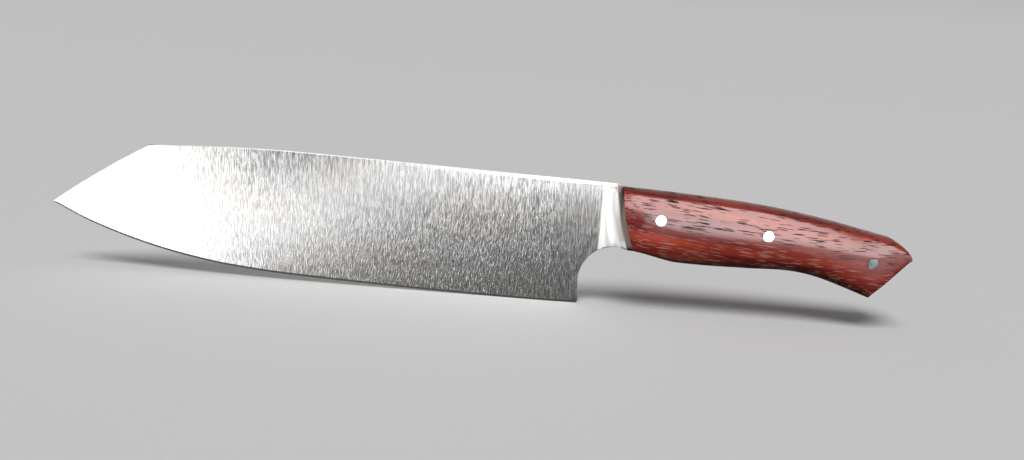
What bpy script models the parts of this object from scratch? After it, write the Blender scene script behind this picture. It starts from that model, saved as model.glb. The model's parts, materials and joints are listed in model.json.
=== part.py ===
"""Kitchen knife with a clipped tip, an integral bolster and a pinned two-piece wooden handle.

Metres, +Z up. The knife stands on its cutting edge with the blade along X, the tip at -X, the butt
at +X and the blade's middle plane at Y = 0. The origin is under the middle of the knife's length.
Every position along the knife is first measured from the heel, positive towards the butt.
"""

import math

import bmesh
import bpy
from mathutils import Matrix

mm = 0.001

# Blade outline: places along the edge are shares of the blade's length from the heel
BLADE_LENGTH = 210.0 * mm
TIP_HEIGHT = 24.6 * mm
TIP_BLUNTNESS = 0.5 * mm
CLIP_LENGTH = 38.0 * mm
CLIP_BOW = 0.9 * mm
SPINE_HEIGHT_AT_CLIP = 50.4 * mm
SPINE_HEIGHT_AT_CREST = 52.2 * mm
SPINE_HEIGHT_AT_BOLSTER = 49.8 * mm
CREST_FROM_HEEL = 120.0 * mm
SPINE_FALL_POWER_FRONT = 1.6
SPINE_FALL_POWER_REAR = 1.15
EDGE_LINE = (
    (0.0, 0.2), (0.1, 0.02), (0.33, 0.8), (0.53, 2.2),
    (0.62, 3.3), (0.71, 5.4), (0.82, 10.2), (0.93, 17.7),
)

# Blade thickness
SPINE_THICKNESS_AT_HEEL = 2.8 * mm
SPINE_THICKNESS_AT_TIP = 1.4 * mm
THICKNESS_BEHIND_EDGE = 0.36 * mm
EDGE_BEVEL_HEIGHT = 0.8 * mm
SPINE_ROUNDING = 0.35 * mm

# Heel and finger notch
HEEL_ROUNDING = 1.2 * mm
HEEL_LEAN = 0.8 * mm
NOTCH_RADIUS = 15.0 * mm
NOTCH_TOP_HEIGHT = 25.0 * mm

# Bolster
PLUNGE_FROM_HEEL = 6.2 * mm
PLUNGE_WIDTH_AT_SPINE = 0.3 * mm
PLUNGE_WIDTH_AT_NOTCH = 1.4 * mm
NECK_THICKNESS_AT_SPINE = 3.0 * mm
NECK_THICKNESS_AT_NOTCH = 4.0 * mm
BAND_WIDTH = 2.5 * mm
BAND_EDGE_DROP = 0.8 * mm
FLARE_ARC_SHARE = 0.9

# Joint between bolster and wood, a shallow arc that leans back towards the underside
JOINT_FROM_HEEL = 13.2 * mm
JOINT_SLOPE = 0.04
JOINT_RADIUS = 58.0 * mm
JOINT_HEIGHT_TOP = 49.0 * mm
JOINT_HEIGHT_BOTTOM = 24.5 * mm

# Handle outline: places along it are shares of its length, heights are above the cutting edge
BUTT_FROM_HEEL = 128.1 * mm
HANDLE_TOP = ((0.22, 48.0), (0.48, 46.1), (0.695, 42.8), (0.91, 38.1))
HANDLE_BOTTOM = (
    (0.03, 23.9), (0.10, 21.9), (0.14, 20.85), (0.18, 20.35),
    (0.28, 20.1), (0.43, 20.4), (0.58, 20.85), (0.69, 19.15),
)
BUTT_CORNER_SHARE = 0.869
BUTT_CORNER_HEIGHT = 12.6 * mm
BUTT_APEX_HEIGHT = 29.0 * mm
BUTT_APEX_THICKNESS = 0.6 * mm
BUTT_ROUND_LENGTH = 8.0 * mm
BUTT_ROUND_POWER = 1.8
BUTT_CUT_BOW = 0.6 * mm

# Handle cross-section, at shares of the handle's length; the bolster's band falls to the wood
HALF_WIDTHS = (
    (0.015, 7.6), (0.04, 8.25), (0.08, 8.95), (0.16, 9.4),
    (0.3, 9.75), (0.45, 9.9), (0.75, 9.5), (0.9, 9.0), (1.0, 8.5),
)
BAND_FALL = 0.30
RIDGE_INSETS = ((0.0, 2.3), (0.8, 2.3), (0.9, 1.7), (1.0, 0.6))
RIDGE_DROPS = ((-0.03, 2.6), (0.015, 2.0), (0.08, 1.3), (1.0, 1.3))
RIDGE_ROUNDING = 1.1 * mm
MOST_DROP_PER_HEIGHT = 1 / 11
MOST_ROUNDING_PER_HEIGHT = 1 / 12
WIDEST_SHARES = ((0.0, 0.5), (0.6, 0.5), (0.85, 0.37), (0.95, 0.29), (1.0, 0.24))
UNDERSIDE_POWERS = (
    (-0.03, 14.0), (0.015, 12.0), (0.06, 6.0), (0.15, 3.0), (0.28, 2.3),
    (0.6, 2.7), (0.84, 4.5), (0.92, 7.0), (1.0, 8.0),
)

# Tang, hidden in pockets of the two scales
TANG_THICKNESS = 2.6 * mm
TANG_HEIGHT_AT_BOLSTER = 15.0 * mm
TANG_HEIGHT_AT_END = 10.0 * mm
TANG_END_FROM_BUTT = 13.0 * mm
TANG_ROOT = 6.0 * mm

# Pins: places from the heel and heights above the cutting edge
PIN_DIAMETER = 4.2 * mm
PIN_PLACES = ((28.3, 38.0), (70.4, 35.3), (112.8, 27.8))

# Gap that every pair of touching pieces keeps
FIT = 0.3 * mm

# Mesh fineness; the blade's columns lean forward near the heel to fan out round the notch
FAN_LEAN = 9.0 * mm
FAN_LENGTH = 60.0 * mm
BLADE_COLUMNS = 36
HEEL_COLUMNS = 14
FLARE_COLUMNS = 7
HANDLE_COLUMNS = 28
BUTT_COLUMNS = 12
CROWN_ROWS = 3
RIDGE_ROWS = 3
UPPER_SIDE_ROWS = 6
LOWER_SIDE_ROWS = 8
TANG_STEPS = 10
PIN_SIDES = 32

CENTRE = (BUTT_FROM_HEEL - BLADE_LENGTH) / 2
TOP_ROWS = CROWN_ROWS + RIDGE_ROWS
LAST_ROW = TOP_ROWS + UPPER_SIDE_ROWS + LOWER_SIDE_ROWS


def mix(a, b, share):
    return a + (b - a) * share


def curve(points, x):
    """Height at x of a smooth line through (x, height) points, straight beyond its ends."""
    slopes = []
    for i in range(len(points)):
        before = points[max(i - 1, 0)]
        after = points[min(i + 1, len(points) - 1)]
        slopes.append((after[1] - before[1]) / (after[0] - before[0]))
    if x <= points[0][0]:
        return points[0][1] + slopes[0] * (x - points[0][0])
    for i in range(len(points) - 1):
        (x0, y0), (x1, y1) = points[i], points[i + 1]
        if x <= x1:
            span = x1 - x0
            t = (x - x0) / span
            start = (2 * t**3 - 3 * t**2 + 1) * y0 + (t**3 - 2 * t**2 + t) * span * slopes[i]
            end = (3 * t**2 - 2 * t**3) * y1 + (t**3 - t**2) * span * slopes[i + 1]
            return start + end
    return points[-1][1] + slopes[-1] * (x - points[-1][0])


# Outline of the blade

def edge_height(p):
    """Cutting edge: nearly flat behind, with a belly that runs out straight to the tip."""
    if p > 0:
        return EDGE_LINE[0][1] * mm
    points = [(share * BLADE_LENGTH, h * mm) for share, h in EDGE_LINE]
    return curve(points + [(BLADE_LENGTH, TIP_HEIGHT)], -p)


def spine_height(p):
    """Spine without its clipped tip: a crest, with a slow fall to both ends."""
    from_crest = p + CREST_FROM_HEEL
    if from_crest < 0:
        share = -from_crest / (BLADE_LENGTH - CLIP_LENGTH - CREST_FROM_HEEL)
        fall = SPINE_HEIGHT_AT_CREST - SPINE_HEIGHT_AT_CLIP
        return SPINE_HEIGHT_AT_CREST - fall * share**SPINE_FALL_POWER_FRONT
    share = from_crest / (CREST_FROM_HEEL + JOINT_FROM_HEEL)
    fall = SPINE_HEIGHT_AT_CREST - SPINE_HEIGHT_AT_BOLSTER
    return SPINE_HEIGHT_AT_CREST - fall * share**SPINE_FALL_POWER_REAR


def blade_top(p):
    """Spine, and in front of its break the clip down to the tip."""
    share = (p + BLADE_LENGTH) / CLIP_LENGTH
    if share >= 1:
        return spine_height(p)
    chord = mix(TIP_HEIGHT + TIP_BLUNTNESS, SPINE_HEIGHT_AT_CLIP, share)
    return chord + 4 * CLIP_BOW * share * (1 - share)


def blade_half_thickness(p, h):
    """Flat grind from the spine to the edge, ending in the small cutting bevel."""
    along = min(max(-p / BLADE_LENGTH, 0.0), 1.0)
    spine = mix(SPINE_THICKNESS_AT_HEEL, SPINE_THICKNESS_AT_TIP, along) / 2
    edge = edge_height(p)
    above = max(h - edge, 0.0)
    ground = mix(THICKNESS_BEHIND_EDGE / 2, spine, above / (spine_height(p) - edge))
    return ground * min(above / EDGE_BEVEL_HEIGHT, 1.0)


# Heel, finger notch and joint

def notch_point(angle):
    """Point of the notch's arc: angle 0 is its foremost point, a right angle its top."""
    centre_p = NOTCH_RADIUS - HEEL_LEAN
    centre_h = NOTCH_TOP_HEIGHT - NOTCH_RADIUS
    return (centre_p - NOTCH_RADIUS * math.cos(angle), centre_h + NOTCH_RADIUS * math.sin(angle))


def notch_height(p):
    """Height of the notch's arc at p."""
    reach = (NOTCH_RADIUS - HEEL_LEAN - p) / NOTCH_RADIUS
    return NOTCH_TOP_HEIGHT - NOTCH_RADIUS + NOTCH_RADIUS * math.sqrt(1 - reach**2)


def heel_path():
    """Lower outline from the cutting edge round the heel and up the notch to the plunge line."""
    start_angle = math.pi / 2
    points = []
    rounding_steps = HEEL_COLUMNS // 4
    for i in range(rounding_steps + 1):
        angle = start_angle * i / rounding_steps
        p = -HEEL_ROUNDING * (1 - math.sin(angle))
        points.append((p, edge_height(p) + HEEL_ROUNDING * (1 - math.cos(angle))))
    foremost = notch_point(0.0)
    points.append(((points[-1][0] + foremost[0]) / 2, (points[-1][1] + foremost[1]) / 2))
    end_angle = math.acos((NOTCH_RADIUS - HEEL_LEAN - PLUNGE_FROM_HEEL) / NOTCH_RADIUS)
    arc_steps = HEEL_COLUMNS - rounding_steps - 2
    points += [notch_point(end_angle * i / arc_steps) for i in range(arc_steps + 1)]
    return points


def joint_place(h):
    """Place of the joint between bolster and wood at height h."""
    below = JOINT_HEIGHT_TOP - h
    return JOINT_FROM_HEEL + JOINT_SLOPE * below + below**2 / (2 * JOINT_RADIUS)


# Outline of the bolster and the handle

JOINT_BOTTOM_FROM_HEEL = joint_place(JOINT_HEIGHT_BOTTOM)
JOINT_MIDDLE_FROM_HEEL = joint_place((JOINT_HEIGHT_TOP + JOINT_HEIGHT_BOTTOM) / 2)


def handle_place(share):
    """Place at a share of the handle's length, measured along its underside."""
    return mix(JOINT_BOTTOM_FROM_HEEL, BUTT_FROM_HEEL, share)


def butt_corner():
    return handle_place(BUTT_CORNER_SHARE)


def top_height(p):
    """Top outline of the bolster's band and the handle."""
    band_start = JOINT_FROM_HEEL - BAND_WIDTH / 2
    if p < JOINT_FROM_HEEL:
        share = max(p - band_start, 0.0) / (JOINT_FROM_HEEL - band_start)
        return spine_height(p) - BAND_EDGE_DROP * share**2
    points = [(JOINT_FROM_HEEL, JOINT_HEIGHT_TOP)]
    length = BUTT_FROM_HEEL - JOINT_FROM_HEEL
    points += [(JOINT_FROM_HEEL + share * length, h * mm) for share, h in HANDLE_TOP]
    height = curve(points, p)
    round_start = BUTT_FROM_HEEL - BUTT_ROUND_LENGTH
    if p <= round_start:
        return height
    share = min((p - round_start) / BUTT_ROUND_LENGTH, 1.0)
    full_drop = curve(points, BUTT_FROM_HEEL) - BUTT_APEX_HEIGHT - BUTT_APEX_THICKNESS
    return height - full_drop * (1 - (1 - share**BUTT_ROUND_POWER) ** (1 / BUTT_ROUND_POWER))


def bottom_height(p):
    """Lower outline of the bolster and the handle, with the slightly bowed cut at the butt."""
    notch_top = NOTCH_RADIUS - HEEL_LEAN
    if p <= notch_top:
        return notch_height(p)
    if p >= butt_corner():
        share = (p - butt_corner()) / (BUTT_FROM_HEEL - butt_corner())
        return mix(BUTT_CORNER_HEIGHT, BUTT_APEX_HEIGHT, share) - 4 * BUTT_CUT_BOW * share * (1 - share)
    points = [(notch_top, NOTCH_TOP_HEIGHT), (JOINT_BOTTOM_FROM_HEEL, JOINT_HEIGHT_BOTTOM)]
    points += [(handle_place(share), h * mm) for share, h in HANDLE_BOTTOM]
    points.append((butt_corner(), BUTT_CORNER_HEIGHT))
    return curve(points, p)


def handle_share(p):
    return (p - JOINT_FROM_HEEL) / (BUTT_FROM_HEEL - JOINT_FROM_HEEL)


def half_width(p):
    """Half width: the wood swells behind the joint, and the bolster's band falls towards it."""
    in_front = max(JOINT_MIDDLE_FROM_HEEL - p, 0.0)
    return curve(HALF_WIDTHS, handle_share(p + in_front)) * mm + BAND_FALL * in_front


def ridge_inset(p):
    """Step in from the widest line to the ridge that bounds the handle's top."""
    return curve(RIDGE_INSETS, handle_share(p)) * mm


# Cross-sections, as one row list from the top middle to the bottom middle of one side

def bend(start, corner, end, share):
    """Point of the round stretch that replaces a corner."""
    return tuple(
        (1 - share) ** 2 * a + 2 * share * (1 - share) * b + share**2 * c
        for a, b, c in zip(start, corner, end)
    )


def handle_section(p, height):
    """Rows (y, depth below the top): crowned top, rounded ridge, swelling side, round underside."""
    width = half_width(p)
    power = curve(UNDERSIDE_POWERS, handle_share(p))
    drop = min(curve(RIDGE_DROPS, handle_share(p)) * mm, height * MOST_DROP_PER_HEIGHT)
    inset = ridge_inset(p)
    ridge = width - inset
    widest = curve(WIDEST_SHARES, handle_share(p)) * height
    cut = min(RIDGE_ROUNDING, height * MOST_ROUNDING_PER_HEIGHT)

    def crown(y):
        return drop * (y / ridge) ** 2

    def side(depth):
        return width - inset * ((widest - depth) / (widest - drop)) ** 2

    rows = [(y, crown(y)) for y in ((ridge - cut) * i / CROWN_ROWS for i in range(CROWN_ROWS))]
    start = (ridge - cut, crown(ridge - cut))
    end = (side(drop + cut), drop + cut)
    rows += [bend(start, (ridge, drop), end, i / RIDGE_ROWS) for i in range(RIDGE_ROWS)]
    for i in range(UPPER_SIDE_ROWS):
        depth = mix(drop + cut, widest, i / UPPER_SIDE_ROWS)
        rows.append((side(depth), depth))
    for i in range(LOWER_SIDE_ROWS + 1):
        angle = math.pi / 2 * i / LOWER_SIDE_ROWS
        y = width * max(math.cos(angle), 0.0) ** (2 / power)
        rows.append((y, widest + (height - widest) * math.sin(angle) ** (2 / power)))
    rows[-1] = (0.0, height)
    return rows


def plate_depths(height, foot):
    """Depths of the rows on the blade: a rounded spine, then even steps down to the foot."""
    rounding = min(SPINE_ROUNDING, height / 4)
    depths = [rounding * (1 - math.cos(math.pi / 2 * i / TOP_ROWS)) for i in range(TOP_ROWS)]
    steps = LAST_ROW - 1 - TOP_ROWS
    depths += [mix(rounding, height - foot, i / steps) for i in range(steps + 1)]
    return depths + [height]


def plate_width_share(row):
    """Share of the half thickness at a row: it closes over the rounded spine and at the foot."""
    if row < TOP_ROWS:
        return math.sin(math.pi / 2 * row / TOP_ROWS)
    return 0.0 if row == LAST_ROW else 1.0


def plate_column(top, bottom, foot):
    """Column of blade points from a point of the spine to a point of the lower outline."""
    length = top[1] - bottom[1]
    column = []
    for row, depth in enumerate(plate_depths(length, foot)):
        share = depth / length
        p = mix(top[0], bottom[0], share)
        h = mix(top[1], bottom[1], share)
        column.append((p, plate_width_share(row) * blade_half_thickness(p, h), h))
    return column


# The forging's skin

def blade_columns():
    """Columns from the tip to the heel: they start upright and fan out towards the notch."""
    columns = []
    break_p = CLIP_LENGTH - BLADE_LENGTH
    clip_columns = BLADE_COLUMNS // 3
    places = [mix(-BLADE_LENGTH, break_p, i / clip_columns) for i in range(clip_columns)]
    rest = BLADE_COLUMNS - clip_columns
    places += [mix(break_p, -HEEL_ROUNDING, i / rest) for i in range(rest + 1)]
    for p in places:
        lean = FAN_LEAN * max(1 + p / FAN_LENGTH, 0.0) ** 2
        foot = min(EDGE_BEVEL_HEIGHT, (blade_top(p) - edge_height(p)) / 3)
        columns.append(plate_column((p - lean, blade_top(p - lean)), (p, edge_height(p)), foot))
    first_top = columns[-1][0][0]
    path = heel_path()
    for i, bottom in enumerate(path[1:], start=1):
        p = mix(first_top, PLUNGE_FROM_HEEL, i / (len(path) - 1))
        columns.append(plate_column((p, blade_top(p)), bottom, 0.0))
    return columns


def bolster_column(flare, start_shift, along):
    """Column of the bolster: flare 0 is the plate of the neck and 1 the handle's full section.

    start_shift moves it from the plunge line (0) to the neck (1), along from there to the band (1).
    """
    height = JOINT_HEIGHT_TOP - JOINT_HEIGHT_BOTTOM
    full = handle_section(JOINT_MIDDLE_FROM_HEEL - BAND_WIDTH, height)
    plate = plate_depths(height, 0.0)
    column = []
    for row in range(LAST_ROW + 1):
        share = mix(plate[row], full[row][1], along) / height
        neck = mix(NECK_THICKNESS_AT_SPINE, NECK_THICKNESS_AT_NOTCH, share) / 2
        band = joint_place(JOINT_HEIGHT_TOP - share * height) - BAND_WIDTH
        plunge = mix(PLUNGE_WIDTH_AT_SPINE, PLUNGE_WIDTH_AT_NOTCH, share)
        start = PLUNGE_FROM_HEEL + plunge * start_shift
        p = mix(start, band, along)
        h = mix(top_height(p), bottom_height(p), share)
        y = mix(neck * plate_width_share(row), full[row][0], flare)
        column.append((p, y, h))
    return column


def full_column(place):
    """Column of the full handle section; place(share) gives each row's place along the knife."""
    nominal = place(0.5)
    height = top_height(nominal) - bottom_height(nominal)
    column = []
    for y, depth in handle_section(nominal, height):
        share = depth / height
        p = place(share)
        column.append((p, y, mix(top_height(p), bottom_height(p), share)))
    return column


def joint_at(share):
    return joint_place(mix(JOINT_HEIGHT_TOP, JOINT_HEIGHT_BOTTOM, share))


def flare_share(along):
    """Concave rise of the bolster from the neck to the band."""
    return (1 - math.sqrt(1 - FLARE_ARC_SHARE * along**2)) / (1 - math.sqrt(1 - FLARE_ARC_SHARE))


def forging_columns():
    columns = blade_columns()
    columns.append(bolster_column(0.0, 1.0, 0.0))
    for i in range(1, FLARE_COLUMNS + 1):
        along = i / FLARE_COLUMNS
        columns.append(bolster_column(flare_share(along), 1.0, along))
    for i in range(1, 4):
        back = BAND_WIDTH * (1 - i / 3)
        columns.append(full_column(lambda share, back=back: joint_at(share) - back))
    return columns


def handle_columns():
    """Columns of the whole handle from the joint to the butt, closer together at the butt."""
    columns = []
    shares = [BUTT_CORNER_SHARE * i / HANDLE_COLUMNS for i in range(HANDLE_COLUMNS)]
    for i in range(BUTT_COLUMNS + 1):
        shares.append(mix(BUTT_CORNER_SHARE, 1.0, math.sin(math.pi / 2 * i / BUTT_COLUMNS)))
    for along in shares:
        columns.append(
            full_column(lambda share, along=along: mix(joint_at(share) + FIT, BUTT_FROM_HEEL, along))
        )
    return columns


# Meshes

def make_object(name, mesh, material):
    obj = bpy.data.objects.new(name, mesh)
    bpy.context.scene.collection.objects.link(obj)
    obj.data.materials.append(material)
    return obj


def mesh_from(name, bm):
    bmesh.ops.recalc_face_normals(bm, faces=bm.faces)
    mesh = bpy.data.meshes.new(name)
    bm.to_mesh(mesh)
    bm.free()
    return mesh


def skin(name, columns):
    """Closed mesh through the columns and their mirror images, with a flat ladder at both ends."""
    bm = bmesh.new()
    near, far = [], []
    for column in columns:
        side = [bm.verts.new((p - CENTRE, -y, h)) for p, y, h in column]
        other = [bm.verts.new((p - CENTRE, y, h)) for p, y, h in column[1:-1]]
        near.append(side)
        far.append([side[0]] + other + [side[-1]])
    for grid in (near, far):
        for a, b in zip(grid, grid[1:]):
            for row in range(LAST_ROW):
                bm.faces.new((a[row], a[row + 1], b[row + 1], b[row]))
    for end in (0, -1):
        a, b = near[end], far[end]
        for row in range(LAST_ROW):
            corners = (a[row], a[row + 1], b[row + 1], b[row])
            bm.faces.new(list(dict.fromkeys(corners)))
    return mesh_from(name, bm)


def prism(name, outline, half_depth):
    """Solid of a closed (p, h) outline, from -half_depth to +half_depth across the knife."""
    bm = bmesh.new()
    front = [bm.verts.new((p - CENTRE, -half_depth, h)) for p, h in outline]
    back = [bm.verts.new((p - CENTRE, half_depth, h)) for p, h in outline]
    bm.faces.new(front)
    bm.faces.new(back[::-1])
    for i in range(len(outline)):
        j = (i + 1) % len(outline)
        bm.faces.new((front[i], front[j], back[j], back[i]))
    return mesh_from(name, bm)


def rod(name, place, radius, length):
    """Round rod across the knife at a (p, h) place."""
    bm = bmesh.new()
    bmesh.ops.create_cone(
        bm,
        cap_ends=True,
        segments=PIN_SIDES,
        radius1=radius,
        radius2=radius,
        depth=length,
        matrix=Matrix.Rotation(math.pi / 2, 4, "X"),
    )
    bmesh.ops.translate(bm, vec=(place[0] - CENTRE, 0, place[1]), verts=bm.verts)
    return mesh_from(name, bm)


def make_cutter(name, mesh):
    """Helper solid for a Boolean, which isn't a piece of the knife."""
    obj = bpy.data.objects.new(name, mesh)
    bpy.context.scene.collection.objects.link(obj)
    obj.hide_render = True
    obj.display_type = "WIRE"
    return obj


def boolean(obj, operation, cutter):
    modifier = obj.modifiers.new(cutter.name, "BOOLEAN")
    modifier.operation = operation
    modifier.solver = "EXACT"
    modifier.object = cutter


def make_material(name, colour, metallic, roughness):
    material = bpy.data.materials.new(name)
    material.use_nodes = True
    shader = material.node_tree.nodes["Principled BSDF"]
    shader.inputs["Base Color"].default_value = (*colour, 1.0)
    shader.inputs["Metallic"].default_value = metallic
    shader.inputs["Roughness"].default_value = roughness
    material.diffuse_color = (*colour, 1.0)
    return material


def shade(obj):
    obj.data.shade_smooth()
    obj.data.set_sharp_from_angle(angle=math.radians(30))


# Tang and pins

def pin_points():
    return [(p * mm, h * mm) for p, h in PIN_PLACES]


def tang_outline(start, grow):
    """Outline of the tang, whose middle line runs through the pins, grown by a clearance."""
    end = BUTT_FROM_HEEL - TANG_END_FROM_BUTT + grow
    upper, lower = [], []
    for i in range(TANG_STEPS + 1):
        p = mix(start, end, i / TANG_STEPS)
        share = (p - JOINT_FROM_HEEL) / (end - JOINT_FROM_HEEL)
        half = mix(TANG_HEIGHT_AT_BOLSTER, TANG_HEIGHT_AT_END, share) / 2 + grow
        middle = curve(pin_points(), p)
        upper.append((p, middle + half))
        lower.append((p, middle - half))
    return lower + upper[::-1]


def make_forging(steel):
    forging = make_object("blade_bolster_tang", skin("blade_bolster_tang", forging_columns()), steel)
    shade(forging)
    root = JOINT_FROM_HEEL - TANG_ROOT + BAND_WIDTH
    tang = make_cutter("tang_bar", prism("tang_bar", tang_outline(root, 0.0), TANG_THICKNESS / 2))
    boolean(forging, "UNION", tang)
    return forging


def make_handle(wood, pin_steel, forging):
    blank = make_cutter("handle_blank", skin("handle_blank", handle_columns()))
    shade(blank)
    widest = max(width for _, width in HALF_WIDTHS) * mm
    pocket_mesh = prism("tang_pocket", tang_outline(0.0, FIT), TANG_THICKNESS / 2 + FIT)
    pocket = make_cutter("tang_pocket", pocket_mesh)
    scales = []
    for name, side in (("handle_scale_left", -1), ("handle_scale_right", 1)):
        bm = bmesh.new()
        bmesh.ops.create_cube(bm, size=1.0)
        slab_size = (2 * BUTT_FROM_HEEL, widest, 2 * SPINE_HEIGHT_AT_CREST)
        bmesh.ops.scale(bm, vec=slab_size, verts=bm.verts)
        middle = side * (widest + FIT) / 2
        bmesh.ops.translate(bm, vec=(BUTT_FROM_HEEL - CENTRE, middle, 0), verts=bm.verts)
        slab = make_cutter(f"{name}_slab", mesh_from(f"{name}_slab", bm))
        scale = make_object(name, blank.data.copy(), wood)
        boolean(scale, "INTERSECT", slab)
        boolean(scale, "DIFFERENCE", pocket)
        scales.append(scale)
    for name, place in zip(("pin_front", "pin_middle", "pin_rear"), pin_points()):
        pin = make_object(name, rod(name, place, PIN_DIAMETER / 2, 4 * widest), pin_steel)
        shade(pin)
        boolean(pin, "INTERSECT", blank)
        hole = make_cutter(f"{name}_hole", rod(f"{name}_hole", place, PIN_DIAMETER / 2 + FIT, 4 * widest))
        for piece in (forging, *scales):
            boolean(piece, "DIFFERENCE", hole)


def main():
    for obj in list(bpy.data.objects):
        bpy.data.objects.remove(obj, do_unlink=True)
    steel = make_material("satin_steel", (0.62, 0.61, 0.60), 1.0, 0.34)
    wood = make_material("red_hardwood", (0.24, 0.035, 0.022), 0.0, 0.22)
    pin_steel = make_material("polished_pin_steel", (0.66, 0.69, 0.72), 1.0, 0.25)
    forging = make_forging(steel)
    make_handle(wood, pin_steel, forging)


main()
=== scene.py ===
"""Looks of a kitchen knife: satin forging, glossy red hardwood scales and steel pins ground flush.

Metres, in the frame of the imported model: +X from the tip to the butt, +Z from the cutting edge to the
spine, the blade's middle plane at Y = 0. Places along the knife are first measured from the heel,
positive towards the butt, as p, and heights above the cutting edge as h.
"""

import json
import math

import bmesh
import bpy
from mathutils import Matrix, Vector

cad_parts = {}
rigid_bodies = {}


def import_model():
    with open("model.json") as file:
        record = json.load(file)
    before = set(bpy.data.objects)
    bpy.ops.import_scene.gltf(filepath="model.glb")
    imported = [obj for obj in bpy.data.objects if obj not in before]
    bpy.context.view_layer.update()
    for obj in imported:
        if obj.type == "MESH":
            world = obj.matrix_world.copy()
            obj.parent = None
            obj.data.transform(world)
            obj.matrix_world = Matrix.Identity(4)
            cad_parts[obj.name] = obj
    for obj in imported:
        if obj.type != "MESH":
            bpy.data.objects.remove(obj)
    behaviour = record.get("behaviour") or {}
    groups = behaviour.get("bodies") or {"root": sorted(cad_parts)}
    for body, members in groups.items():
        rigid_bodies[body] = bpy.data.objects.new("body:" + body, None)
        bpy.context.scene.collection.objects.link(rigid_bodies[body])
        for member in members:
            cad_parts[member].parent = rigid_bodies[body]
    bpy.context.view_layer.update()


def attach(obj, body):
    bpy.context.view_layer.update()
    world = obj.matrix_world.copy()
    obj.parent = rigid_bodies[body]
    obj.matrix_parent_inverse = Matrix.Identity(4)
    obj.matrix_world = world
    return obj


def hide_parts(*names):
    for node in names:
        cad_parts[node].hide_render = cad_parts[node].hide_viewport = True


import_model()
scene = bpy.context.scene

mm = 0.001

# Blade outline
BLADE_LENGTH = 210.0 * mm
TIP_HEIGHT = 24.6 * mm
TIP_BLUNTNESS = 0.5 * mm
CLIP_LENGTH = 38.0 * mm
CLIP_BOW = 0.9 * mm
SPINE_HEIGHT_AT_CLIP = 50.4 * mm
SPINE_HEIGHT_AT_CREST = 52.2 * mm
SPINE_HEIGHT_AT_BOLSTER = 49.8 * mm
CREST_FROM_HEEL = 120.0 * mm
SPINE_FALL_POWER_FRONT = 1.6
SPINE_FALL_POWER_REAR = 1.15
# Cutting edge: shares of the blade's length in front of the heel, and heights in mm
EDGE_LINE = (
    (0.0, 0.2), (0.1, 0.02), (0.33, 0.8), (0.53, 2.2),
    (0.62, 3.3), (0.71, 5.4), (0.82, 10.2), (0.93, 17.7),
)

# Blade thickness
SPINE_THICKNESS_AT_HEEL = 2.8 * mm
SPINE_THICKNESS_AT_TIP = 1.4 * mm
THICKNESS_BEHIND_EDGE = 0.36 * mm
EDGE_BEVEL_HEIGHT = 0.8 * mm
SPINE_ROUNDING = 0.35 * mm
MOST_SPINE_ROUNDING_PER_HEIGHT = 1 / 4
MOST_BEVEL_PER_HEIGHT = 1 / 3

# Heel and finger notch
HEEL_ROUNDING = 1.2 * mm
HEEL_LEAN = 0.8 * mm
NOTCH_RADIUS = 15.0 * mm
NOTCH_TOP_HEIGHT = 25.0 * mm
NOTCH_EDGE_ROUNDING = 0.35 * mm

# Bolster
PLUNGE_FROM_HEEL = 6.2 * mm
PLUNGE_WIDTH_AT_SPINE = 0.3 * mm
PLUNGE_WIDTH_AT_NOTCH = 1.4 * mm
NECK_THICKNESS_AT_SPINE = 3.0 * mm
NECK_THICKNESS_AT_NOTCH = 4.0 * mm
BAND_WIDTH = 2.5 * mm
BAND_EDGE_DROP = 0.8 * mm
BAND_EDGE_ROUNDING = 0.35 * mm
FLARE_ARC_SHARE = 0.9

# Joint between bolster and wood
JOINT_FROM_HEEL = 13.2 * mm
JOINT_SLOPE = 0.04
JOINT_RADIUS = 58.0 * mm
JOINT_HEIGHT_TOP = 49.0 * mm
JOINT_HEIGHT_BOTTOM = 24.5 * mm

# Handle outline: places are shares of its length, heights in mm are above the cutting edge
BUTT_FROM_HEEL = 128.1 * mm
HANDLE_TOP = ((0.22, 48.0), (0.48, 46.1), (0.695, 42.8), (0.91, 38.1))
HANDLE_BOTTOM = (
    (0.03, 23.9), (0.10, 21.9), (0.14, 20.85), (0.18, 20.35),
    (0.28, 20.1), (0.43, 20.4), (0.58, 20.85), (0.69, 19.15),
)
BUTT_CORNER_SHARE = 0.873
BUTT_CORNER_HEIGHT = 13.1 * mm
BUTT_APEX_HEIGHT = 29.7 * mm
BUTT_APEX_THICKNESS = 0.6 * mm
BUTT_ROUND_LENGTH = 8.0 * mm
BUTT_ROUND_POWER = 1.8
BUTT_CUT_BOW = 0.6 * mm

# Handle cross-section: places are shares of the handle's length, lengths are in mm
HALF_WIDTHS = (
    (0.015, 7.6), (0.04, 8.25), (0.08, 8.95), (0.16, 9.4),
    (0.3, 9.75), (0.45, 9.9), (0.75, 9.5), (0.9, 9.0), (1.0, 8.5),
)
BAND_FALL = 0.30
RIDGE_INSETS = ((0.0, 2.3), (0.8, 2.3), (0.9, 1.7), (1.0, 0.6))
RIDGE_DROPS = ((-0.03, 2.6), (0.015, 2.0), (0.08, 1.3), (1.0, 1.3))
RIDGE_ROUNDING = 1.1 * mm
MOST_DROP_PER_HEIGHT = 1 / 11
MOST_ROUNDING_PER_HEIGHT = 1 / 12
WIDEST_SHARES = ((0.0, 0.5), (0.6, 0.5), (0.85, 0.37), (0.95, 0.29), (1.0, 0.24))
UNDERSIDE_POWERS = (
    (-0.03, 14.0), (0.015, 12.0), (0.06, 6.0), (0.15, 3.0), (0.28, 2.3),
    (0.6, 2.7), (0.84, 4.5), (0.92, 7.0), (1.0, 8.0),
)

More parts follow.
